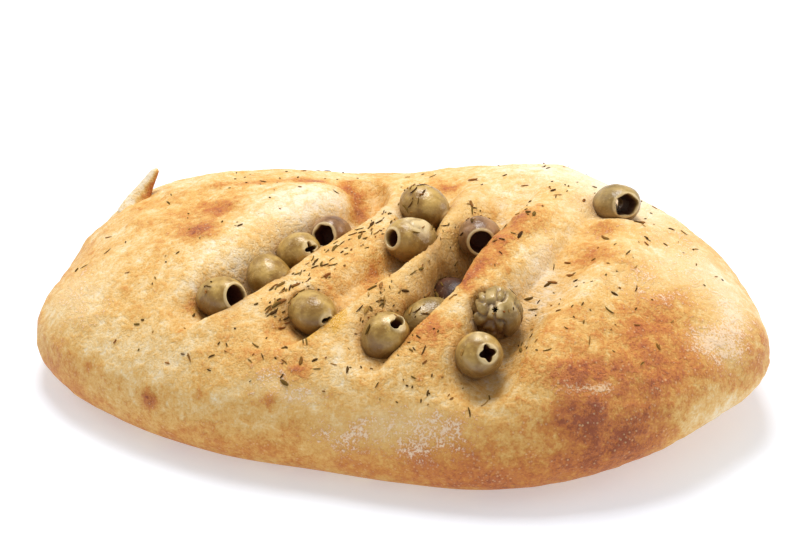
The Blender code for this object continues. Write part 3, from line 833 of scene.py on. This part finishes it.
@dataclass(frozen=True)
class OpenOlive(Olive):
    """An olive that is torn right through, so that light shows through its hole."""

    far_radius: float = 2.4
    far_shift: float = 3.4
    far_share: float = -0.80
    skin_share: float = -0.85
    notch_turn: float = 3.9

    def _start(self) -> tuple[np.ndarray, np.ndarray]:
        """Adds a ring, and gives each point's share from its far edge out, in and back."""
        bpy.ops.mesh.primitive_torus_add(
            major_segments=self.sides, minor_segments=self.rings, major_radius=2, minor_radius=1
        )
        tube = read_points(bpy.context.object)
        round_tube = np.arctan2(tube[:, 2], np.hypot(tube[:, 0], tube[:, 1]) - 2)
        share = np.mod(round_tube / (2 * math.pi) + 0.25, 1.0)
        return share, np.arctan2(tube[:, 1], tube[:, 0])

    def _profile(self, share: np.ndarray, angle: np.ndarray) -> tuple[np.ndarray, ...]:
        """Where points lie along the olive's section.

        Args:
            share: 0 at the far edge of the skin, 0.5 at the lip, 1 back at the far edge.
            angle: direction round the axis.

        Returns:
            Radius and height in millimetres, hollowness, lip, and millimetres to one side.
        """
        length, width, _ = self.size
        half = length / 2
        lobes, depth = self.hole.value
        lip_at = self.lip_share()
        out = np.clip(share / 0.5, 0, 1)
        along = self.skin_share + (lip_at - self.skin_share) * smooth_step(0.04 + 0.92 * out)
        outer = width / 2 * np.sqrt(np.maximum(1 - np.abs(along) ** self.power, 0))
        into = np.clip((share - 0.5) / 0.5, 0, 1)
        stops = np.array([0.0, 0.12, 0.22, 0.80, 0.90, 1.0])
        cap = width / 2 * math.sqrt(1 - abs(self.skin_share) ** self.power)
        radii = [
            self.hole_radius + self.lip_width, self.hole_radius + 0.25, self.hole_radius,
            self.far_radius, self.far_radius + 0.3, cap,
        ]
        heights = [
            half * lip_at, half * lip_at + 0.3, half * lip_at - 0.7,
            half * self.far_share + 0.5, half * self.far_share, half * self.skin_share,
        ]
        aside = np.interp(into, stops, [0, 0, 0, self.far_shift, self.far_shift, 0])
        torn = 1 + depth * np.cos(lobes * angle) * (1 - into) * smooth_step(into / 0.12)
        notch = 1 + 0.5 * bell(turned_from(angle, self.notch_turn) / 0.35) * into
        radius = np.where(share <= 0.5, outer, np.interp(into, stops, radii) * torn * notch)
        height = np.where(share <= 0.5, half * along, np.interp(into, stops, heights))
        hollow = smooth_step((into - 0.14) / 0.2) * (1 - smooth_step((into - 0.8) / 0.1))
        lip = smooth_step((out - 0.93) / 0.07) * (1 - smooth_step(into / 0.25))
        return radius, height, hollow, lip, aside


@dataclass(frozen=True)
class Dab:
    """A soft spot on the crust: its middle, its reach along X, Y and Z, and how strong it is."""

    middle: tuple[float, float, float]
    reach: tuple[float, float, float]
    amount: float

    def over(self, points: np.ndarray) -> np.ndarray:
        """Strength of the spot at each point."""
        apart = (points - np.array(self.middle)) / np.array(self.reach)
        return self.amount * np.exp(-(apart**2).sum(axis=1))


def dabs(*rows: tuple[float, ...]) -> tuple[Dab, ...]:
    """Soft spots from rows of the middle's x, y, z, the reach along each, and the strength."""
    return tuple(Dab(row[:3], row[3:6], row[6]) for row in rows)


@dataclass
class Dough:
    """The baked dough: the loaf's form with fine relief, sockets for the olives and its paint."""

    form: LoafForm
    olives: Sequence[Olive]
    cuts: int = 119
    crowd: float = 0.45
    socket_clear: float = -1.0
    halo_reach: float = 1.9
    wall_depth: float = 11.0
    furrow_shade_below: float = 12.0
    stretch: float = 0.22
    fine: tuple[tuple[float, float, int], ...] = ((6.0, 0.42, 21), (2.6, 0.24, 22))
    browned: tuple[Dab, ...] = dabs(
        (-64, 22, 54, 6, 5, 8, 0.45), (-71, 5, 53, 6, 6, 8, 0.60), (-72, 14, 52, 24, 22, 16, 0.25),
        (-33, 39, 56, 7, 2.5, 5, 0.60), (-50, 42, 54, 30, 2.5, 5, 0.30),
        # On the next line, the spots at x -18 and -15 brown the end of the first slash and also
        # paint the shade in the valley there.
        (-18, 44, 52, 3.5, 6, 5, 0.55), (-15, 33, 47, 3, 8, 6, 0.85), (34, -19, 62, 5, 13, 6, 0.55),
        (22, -38, 58, 3, 7, 5, 0.60), (27, -28, 60, 3, 7, 5, 0.55), (41, -7, 63, 4, 7, 5, 0.30),
        (10, -59, 52, 6, 7, 7, 0.45), (45, -2, 63, 7, 9, 6, 0.45), (72, 0, 58, 5, 5, 6, 0.50),
        (66, -20, 58, 7, 8, 8, 0.40), (17, 38, 54, 4, 5, 5, 0.50), (-9, -19, 48, 4, 12, 6, 0.40),
        (77, -26, 59, 6, 6, 6, 0.25), (84, -62, 42, 28, 20, 16, 0.50),
        (57, -73, 44, 14, 6, 5, 0.55), (58, -81, 32, 17, 6, 9, 0.62),
        (84, -76, 26, 16, 10, 14, 0.32), (68, -83, 20, 22, 8, 9, 0.30),
        (122, -40, 32, 10, 14, 12, 0.30), (92, -42, 50, 16, 14, 8, 0.20),
        (113, -60, 30, 10, 10, 10, 0.16), (-34, -63, 38, 4, 4, 4, 0.50),
        (-43, -68, 30, 3, 3, 3, 0.45), (-86, -54, 21, 3.5, 3.5, 3.5, 0.75),
        (-71, -30, 42, 5, 4, 4, 0.30), (40, -84, 16, 30, 8, 12, 0.28),
        (10, 76, 24, 60, 22, 14, 0.20), (-112, 40, 20, 22, 30, 14, 0.20),
    )
    floured: tuple[Dab, ...] = dabs(
        (-5, -81, 26, 26, 7, 9, 0.46), (13, -84, 28, 13, 6, 10, 0.42),
        (-22, -76, 20, 11, 7, 6, 0.36), (115, -36, 42, 9, 10, 7, 0.82),
        (104, -50, 42, 9, 8, 6, 0.80), (112, -50, 36, 7, 7, 5, 0.60),
        (52, -76, 40, 7, 3, 1.7, 0.95), (66, -76, 40, 5, 3, 1.7, 0.90),
        (67, -80, 31, 3, 3, 2, 0.60), (47, -79, 36, 5, 3, 2, 0.50),
        (-112, -10, 36, 15, 20, 14, 0.40), (-44, -64, 35, 10, 6, 6, 0.50),
        (-33, -69, 32, 9, 5, 4, 0.50), (50, -16, 56, 5, 13, 7, 0.42),
        (86, 30, 55, 36, 32, 16, 0.50), (-48, 10, 55, 16, 10, 10, 0.25),
        (102, -16, 50, 20, 20, 12, 0.50), (82, -34, 56, 14, 10, 8, 0.36),
    )
    pale: tuple[Dab, ...] = dabs(
        (-62, -8, 50, 13, 12, 12, 0.80), (-45, 14, 55, 16, 12, 12, 0.70),
        (-28, 26, 53, 13, 10, 10, 0.80), (48, -18, 55, 6, 14, 9, 0.80),
        (56, -38, 50, 12, 12, 12, 0.60), (80, 40, 55, 40, 25, 16, 0.70),
        (108, -20, 46, 16, 20, 14, 0.40), (112, -56, 18, 30, 26, 8, 0.80),
    )
    # Spots on the floors of the slashes, under the olives, that get painted shade.
    sunken_shade: tuple[Dab, ...] = dabs(
        (17, -17, 44, 5, 8, 6, 0.9), (21, -25, 44, 5, 6, 6, 0.8), (-58, -24, 40, 8, 6, 4, 0.5),
        (-44, -12, 40, 8, 7, 4, 0.5), (-31, 1, 41, 7, 8, 4, 0.5),
    )
    oiled: tuple[Dab, ...] = dabs(
        (-20, -44, 46, 5, 8, 6, 0.95), (-32, -52, 46, 10, 5, 6, 0.50), (4, -47, 46, 4, 5, 6, 0.60),
        (-5, -20, 50, 6, 10, 5, 0.45), (-71, -30, 42, 3, 3, 4, 0.50), (38, -44, 46, 3, 5, 5, 0.50),
    )

    def build(self) -> bpy.types.Object:
        """Models the dough."""
        bpy.ops.object.select_all(action="DESELECT")
        bpy.ops.mesh.primitive_cube_add(size=2)
        obj = bpy.context.object
        bpy.ops.object.mode_set(mode="EDIT")
        bpy.ops.mesh.select_all(action="SELECT")
        bpy.ops.mesh.subdivide(number_cuts=self.cuts)
        bpy.ops.object.mode_set(mode="OBJECT")
        points = self.form.crust(self._crowded(read_points(obj)))
        depth = self.form.slash_depth(points[:, 0], points[:, 1])
        upper = self.form.is_upper(points)
        for olive in self.olives:
            floor = olive.lowest(points[:, 0], points[:, 1], self.socket_clear)
            points[:, 2] = np.where(upper, np.minimum(points[:, 2], floor), points[:, 2])
        write_points(obj, self.form.to_part(points))
        relief = self._relief(points, depth)
        points = points + point_normals(obj) * relief[:, None]
        write_points(obj, self.form.to_part(points))
        self._paint(obj, points, depth)
        return obj

    def _crowded(self, cube: np.ndarray) -> np.ndarray:
        """Rounds a cube's points to a ball, and crowds them towards its top."""
        ball = cube / np.linalg.norm(cube, axis=1, keepdims=True)
        down = np.arccos(np.clip(ball[:, 2], -1, 1))
        flat = np.maximum(np.hypot(ball[:, 0], ball[:, 1]), 1e-9)
        down = down - self.crowd * np.sin(down)
        return np.column_stack([
            ball[:, 0] / flat * np.sin(down), ball[:, 1] / flat * np.sin(down), np.cos(down)
        ])

    def _relief(self, points: np.ndarray, depth: np.ndarray) -> np.ndarray:
        """Fine lumps all over, and stretched dough on the walls of the slashes."""
        above = smooth_step((points[:, 2] - 2.0) / 8.0)
        relief = sum(height * smooth_noise(points, cell, seed) for cell, height, seed in self.fine)
        run = np.column_stack([
            (points[:, 0] * 0.66 + points[:, 1] * 0.75) / 1.7,
            (points[:, 0] * 0.75 - points[:, 1] * 0.66) / 9.0,
            points[:, 2] / 7.0,
        ])
        walls = smooth_step(depth / 5.0)
        browned = sum(dab.over(points) for dab in self.browned)
        relief = relief * (1 + browned) + self.stretch * smooth_noise(run, 1.0, 25) * walls
        return relief * above

    def _paint(self, obj: bpy.types.Object, points: np.ndarray, depth: np.ndarray) -> None:
        """Paints browning, flour, moist dough, oil and the slashes' walls."""
        x, y, z = points.T
        moist = (self.form.strip_height(0, x, y) + self.form.strip_height(1, x, y)) / 4.0
        run, drop = self.form.slash_run(x, y)
        sunken_shade = sum(dab.over(points) for dab in self.sunken_shade)
        # Painted shade: the deepest parts of the slashes and the sunken spots are painted dark.
        dark = smooth_step((depth - self.furrow_shade_below) / 9.0) * 0.6 + sunken_shade
        apart = [
            np.linalg.norm(points - np.array(olive.place), axis=1) - sum(olive.size[:2]) / 4
            for olive in self.olives
        ]
        paint(
            obj,
            moist=np.clip(moist, 0, 1),
            herby=np.clip(moist * 1.2, 0, 1),
            wall=smooth_step(depth / self.wall_depth),
            deep=np.clip(dark, 0, 1),
            # Painted contact shade round each olive, with some oil soaked in.
            halo=bell(np.maximum(np.min(apart, axis=0), 0) / self.halo_reach),
            # Browner towards the bottom, partly as painted shade.
            low=1 - smooth_step((z - 8.0) / 26.0),
            run=run,
            drop=drop,
        )
        for name in ("browned", "floured", "pale", "oiled"):
            paint(obj, **{name: sum(dab.over(points) for dab in getattr(self, name))})


@dataclass
class Flap:
    """The torn flap of crust that stands up at the back left."""

    form: LoafForm
    spine: tuple[tuple[float, ...], ...] = (
        (-101, 48, 36, 6.0, 3.2), (-98, 52, 40.5, 4.8, 2.6), (-95.3, 54.3, 44.5, 3.3, 2.0),
        (-92.8, 55.6, 48.3, 2.4, 1.5), (-90.3, 56.8, 52, 1.3, 1.0),
    )
    turn: float = math.radians(-20)

    def build(self) -> bpy.types.Object:
        """Models the flap as a ball drawn out along its spine."""
        bpy.ops.object.select_all(action="DESELECT")
        bpy.ops.mesh.primitive_uv_sphere_add(segments=32, ring_count=40, radius=1)
        obj = bpy.context.object
        ball = read_points(obj)
        rows = open_curve(self.spine, 10)
        share = 1 - np.arccos(np.clip(ball[:, 2], -1, 1)) / math.pi
        at = share * (len(rows) - 1)
        spot = np.column_stack([
            np.interp(at, np.arange(len(rows)), rows[:, column]) for column in range(5)
        ])
        angle = np.arctan2(ball[:, 1], ball[:, 0])
        swell = np.minimum(1.0, 3.5 * np.sqrt(np.maximum(np.minimum(share, 1 - share), 0)))
        broad = np.cos(angle) * spot[:, 3] * swell
        deep = np.sin(angle) * spot[:, 4] * swell
        points = spot[:, :3] + np.column_stack([
            broad * math.cos(self.turn) - deep * math.sin(self.turn),
            broad * math.sin(self.turn) + deep * math.cos(self.turn),
            np.zeros_like(share),
        ])
        points += 0.35 * smooth_noise(points, 3.0, 41)[:, None]
        write_points(obj, self.form.to_part(points))
        browned = smooth_step((broad + 0.5) / 3.0) * 0.55 * smooth_step(share * 2)
        paint(obj, browned=browned, pale=smooth_step((1.0 - broad) / 2.0) * 0.7)
        for name in (
            "moist", "wall", "deep", "low", "run", "drop", "floured", "herby", "oiled", "halo"
        ):
            paint(obj, **{name: np.zeros_like(share)})
        return obj


@dataclass(frozen=True)
class HerbPatch:
    """A stretch of crust with herbs: from, to, half its width, how many, spread of turn, seed."""

    start: tuple[float, float]
    end: tuple[float, float]
    half_width: float
    count: int
    spread: float
    seed: int


@dataclass
class Herbs:
    """The dried herbs, as one mesh of curled slivers."""

    form: LoafForm
    patches: tuple[HerbPatch, ...] = (
        HerbPatch((-46, -42), (10, 23), 6.5, 150, 0.6, 11),
        HerbPatch((-16, -54), (32, 16), 6.5, 96, 1.0, 12),
        HerbPatch((0, -66), (60, 24), 8, 50, 1.5, 13),
        HerbPatch((-52, -56), (30, -80), 8, 60, 2.0, 14),
        HerbPatch((44, -70), (112, 10), 26, 80, 2.0, 15),
        HerbPatch((-105, -6), (-20, 62), 26, 48, 2.0, 16),
        HerbPatch((-104, -34), (-30, -66), 8, 24, 2.0, 17),
        HerbPatch((0, 44), (96, 40), 16, 30, 2.0, 18),
        HerbPatch((-12, -46), (10, -44), 5, 36, 1.2, 19),
        HerbPatch((34, -60), (62, -18), 8, 16, 2.0, 20),
        HerbPatch((-71, -34), (-64, -30), 1.5, 6, 2.0, 21),
    )
    lengths: tuple[float, float] = (0.9, 4.4)
    smallness: float = 2.2
    rim_share: float = 0.93
    lift: float = 0.16
    seed: int = 77
    sides: int = 5
    stations: int = 6

    def slivers(self) -> list[tuple[float, ...]]:
        """Every sliver as x, y, angle and length in plan, by a seeded rule, longest first."""
        rows = []
        for patch in self.patches:
            rng = np.random.default_rng(patch.seed)
            along = rng.random(patch.count)
            across = rng.uniform(-patch.half_width, patch.half_width, patch.count)
            dx, dy = patch.end[0] - patch.start[0], patch.end[1] - patch.start[1]
            angle = math.atan2(dy, dx) + rng.uniform(-patch.spread, patch.spread, patch.count)
            size = rng.random(patch.count) ** self.smallness
            run = math.hypot(dx, dy)
            x = patch.start[0] + along * dx - across * dy / run
            y = patch.start[1] + along * dy + across * dx / run
            length = self.lengths[0] + size * (self.lengths[1] - self.lengths[0])
            share, _ = self.form.polar(x, y)
            inside = share < self.rim_share
            rows += zip(x[inside], y[inside], angle[inside], length[inside])
        return sorted(rows, key=lambda row: -row[3])

    def build(self, carriers: Sequence[bpy.types.Object]) -> bpy.types.Object:
        """Lays every sliver on what carries it.

        Args:
            carriers: the pieces that the herbs may lie on.

        Returns:
            One mesh of all slivers.
        """
        rng = np.random.default_rng(self.seed)
        tree = surface_tree(carriers)
        points: list[np.ndarray] = []
        faces: list[tuple[int, ...]] = []
        tones: list[float] = []
        for x, y, angle, length in self.slivers():
            above = Vector(self.form.to_part(np.array([x, y, FAR_UP])))
            spot, normal, _, _ = tree.ray_cast(above, Vector((0, 0, -1)))
            if spot is None:
                continue
            mesh_points, mesh_faces = self._sliver(rng, length)
            turn = lying_turn(normal, angle)
            base = sum(len(block) for block in points)
            foot = np.array(spot + normal * (self.lift * MM))
            points.append(mesh_points @ turn.T * MM + foot)
            faces += [tuple(index + base for index in face) for face in mesh_faces]
            tones += [float(rng.random())] * len(mesh_points)
        mesh = bpy.data.meshes.new("herbs")
        mesh.from_pydata(np.vstack(points).tolist(), [], faces)
        obj = link_object("herbs", mesh)
        paint(obj, tone=np.array(tones))
        return obj

    def _sliver(self, rng: np.random.Generator, length: float) -> tuple[np.ndarray, list]:
        """One curled sliver along X, in millimetres."""
        half = length / 2
        leafy = rng.random() < 0.4
        wide = rng.uniform(0.30, 0.46) * half if leafy else rng.uniform(0.20, 0.38)
        wide = min(wide, 0.68)
        thick = min(wide * rng.uniform(0.35, 0.8), 0.32)
        bend = rng.uniform(-0.5, 0.5)
        curl = rng.uniform(-0.2, 0.5)
        points = [(-half, bend * half * 0.3, curl * half * 0.3)]
        for s in np.linspace(-0.82, 0.82, self.stations):
            swell = math.sqrt(1 - s * s) * rng.uniform(0.85, 1.15)
            for k in range(self.sides):
                a = 2 * math.pi * k / self.sides
                points.append((
                    s * half,
                    math.cos(a) * wide * swell + bend * half * 0.3 * s * s,
                    math.sin(a) * thick * swell + curl * half * 0.3 * s * s,
                ))
        points.append((half, bend * half * 0.3, curl * half * 0.3))
        last = len(points) - 1
        faces = []
        for k in range(self.sides):
            j = (k + 1) % self.sides
            faces.append((0, 1 + j, 1 + k))
            for ring in range(self.stations - 1):
                low = 1 + ring * self.sides
                faces.append((low + k, low + j, low + self.sides + j, low + self.sides + k))
            end = 1 + (self.stations - 1) * self.sides
            faces.append((last, end + k, end + j))
        return np.array(points), faces


def surface_tree(carriers: Sequence[bpy.types.Object]) -> BVHTree:
    """A search tree over the faces of several pieces."""
    points: list[Vector] = []
    faces: list[tuple[int, ...]] = []
    for obj in carriers:
        base = len(points)
        points += [vert.co.copy() for vert in obj.data.vertices]
        faces += [tuple(index + base for index in poly.vertices) for poly in obj.data.polygons]
    return BVHTree.FromPolygons(points, faces)


def lying_turn(normal: Vector, angle: float) -> np.ndarray:
    """Turns X to a direction along the surface and Z to its normal."""
    along = Vector((math.cos(angle), math.sin(angle), 0.0))
    along = (along - normal * along.dot(normal)).normalized()
    across = normal.cross(along)
    return np.column_stack([along, across, normal])


@dataclass
class Studio:
    """A white table, soft light from above and behind, and the camera."""

    target: tuple[float, float, float] = (0.0008, 0.0293, 0.025)
    distance: float = 0.90
    lens: float = 110.0
    sensor: float = 36.0
    floor_colour: Colour = srgb(210, 216, 226)
    floor_glow: float = 0.38
    room_light: float = 0.48
    lamp_size: float = 0.5
    lamps: tuple[tuple[str, tuple[float, float, float], float], ...] = (
        ("overhead", (-0.05, 0.35, 1.1), 11.5),
        ("back_left", (-1.0, 0.5, 0.8), 2.0),
        ("right", (1.1, 0.1, 0.45), 3.6),
    )

    def build(self) -> None:
        """Sets the table, the lights and the camera."""
        self._floor()
        self._world()
        for name, place, watts in self.lamps:
            self._lamp(name, place, watts)
        self._camera()
        bpy.context.scene.view_settings.view_transform = "Standard"

    def _floor(self) -> None:
        """The white table top."""
        bpy.ops.object.select_all(action="DESELECT")
        bpy.ops.mesh.primitive_plane_add(size=8)
        floor = bpy.context.object
        floor.name = "table_top"
        bench = NodeBench("white_table")
        floor.data.materials.append(bench.shade(
            base_color=self.floor_colour,
            roughness=0.8,
            emission_color=(1.0, 1.0, 1.0, 1.0),
            emission_strength=self.floor_glow,
        ))

    def _world(self) -> None:
        """Even white surroundings."""
        world = bpy.data.worlds.new("white_room")
        world.use_nodes = True
        backdrop = world.node_tree.nodes["Background"]
        backdrop.inputs["Color"].default_value = (1.0, 1.0, 1.0, 1.0)
        backdrop.inputs["Strength"].default_value = self.room_light
        bpy.context.scene.world = world

    def _lamp(self, name: str, place: tuple[float, float, float], watts: float) -> None:
        """A square soft light that faces the loaf."""
        light = bpy.data.lights.new(name, "AREA")
        light.size = self.lamp_size
        light.energy = watts
        lamp = link_object(name, light)
        lamp.location = place
        lamp.rotation_euler = (-Vector(place)).to_track_quat("-Z", "Y").to_euler()

    def _camera(self) -> None:
        """The camera at the photograph's angle."""
        back = Vector((0.0, -math.cos(VIEW_SLOPE), math.sin(VIEW_SLOPE)))
        data = bpy.data.cameras.new("camera")
        data.lens = self.lens
        data.sensor_width = self.sensor
        camera = link_object("camera", data)
        camera.location = Vector(self.target) + back * self.distance
        camera.rotation_euler = (-back).to_track_quat("-Z", "Y").to_euler()
        bpy.context.scene.camera = camera


OLIVES = (
    Olive((-61.2, -29.0, 46.4), (20.6, 14.8, 14.8), (0.66, 0.08, 0.74), 4.1),
    Olive((-45.2, -17.6, 47.9), (18.0, 15.4, 15.4), (-0.50, 0.60, -0.60), 3.4),
    Olive((-35.4, -4.0, 49.2), (18.0, 15.6, 15.6), (0.50, 0.24, 0.82), 1.9, Hole.CROSS),
    Olive((-24.4, 8.6, 49.6), (18.0, 14.6, 15.0), (-0.36, 0.00, 0.93), 3.8, Hole.HEXAGON, PURPLISH),
    Olive((8.8, 16.6, 57.0), (19.6, 15.8, 15.8), (0.80, -0.40, 0.45), 1.5),
    Olive((3.8, -5.6, 55.9), (20.4, 16.0, 16.0), (-0.74, 0.06, 0.66), 3.1,
          scar=(0.30, -0.05, 0.98)),
    Olive((-29.8, -39.8, 46.9), (20.0, 15.6, 15.0), (0.54, -0.24, 0.81), 1.4, Hole.SLIT),
    Olive((28.1, -1.4, 54.6), (17.2, 15.4, 15.4), (0.04, -0.27, 0.96), 4.2, Hole.ROUND, PURPLISH),
    Olive((18.6, -19.0, 39.6), (18.0, 15.4, 15.4), (-0.40, 0.30, -0.86), 3.0, Hole.ROUND, SHADED),
    Olive((9.6, -39.0, 43.2), (19.6, 15.6, 15.6), (0.80, 0.50, -0.30), 3.0, Hole.ROUND, GREY),
    Olive((-5.0, -54.0, 46.0), (18.6, 16.2, 16.2), (0.46, 0.56, 0.68), 2.3, Hole.SLIT),
    Olive((32.4, -48.4, 52.0), (18.6, 18.2, 18.2), (-0.10, 0.15, 0.98), 0.9, Hole.PUCKER, GREY),
    Olive((25.9, -66.2, 46.6), (17.6, 16.0, 15.4), (0.36, 0.10, 0.92), 2.7, Hole.STAR,
          scar=(0.05, -0.05, 0.90)),
    OpenOlive((77.2, 16.2, 58.4), (18.6, 16.8, 14.4), (0.38, -0.06, 0.92), 4.3, Hole.TORN, GREY),
)


def main() -> None:
    """Builds the fougasse's visible pieces and the studio."""
    form = LoafForm()
    crust = CrustFinish().material()
    dough = Dough(form, OLIVES).build()
    finish_piece(dough, "crust", crust)
    flap = Flap(form).build()
    finish_piece(flap, "torn_flap", crust)
    skins = {finish: finish.material() for finish in (KHAKI, GREY, PURPLISH, SHADED)}
    olives = []
    for number, olive in enumerate(OLIVES, start=1):
        piece = olive.build(number, form)
        finish_piece(piece, f"pitted_olive_{number:02d}", skins[olive.finish])
        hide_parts(f"olive_{number:02d}")
        olives.append(piece)
    herbs = Herbs(form).build([dough, *olives])
    finish_piece(herbs, "dried_herbs", HerbFinish().material())
    for piece in (dough, flap, herbs):
        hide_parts("bread")
    Studio().build()


if __name__ == "__main__":
    main()
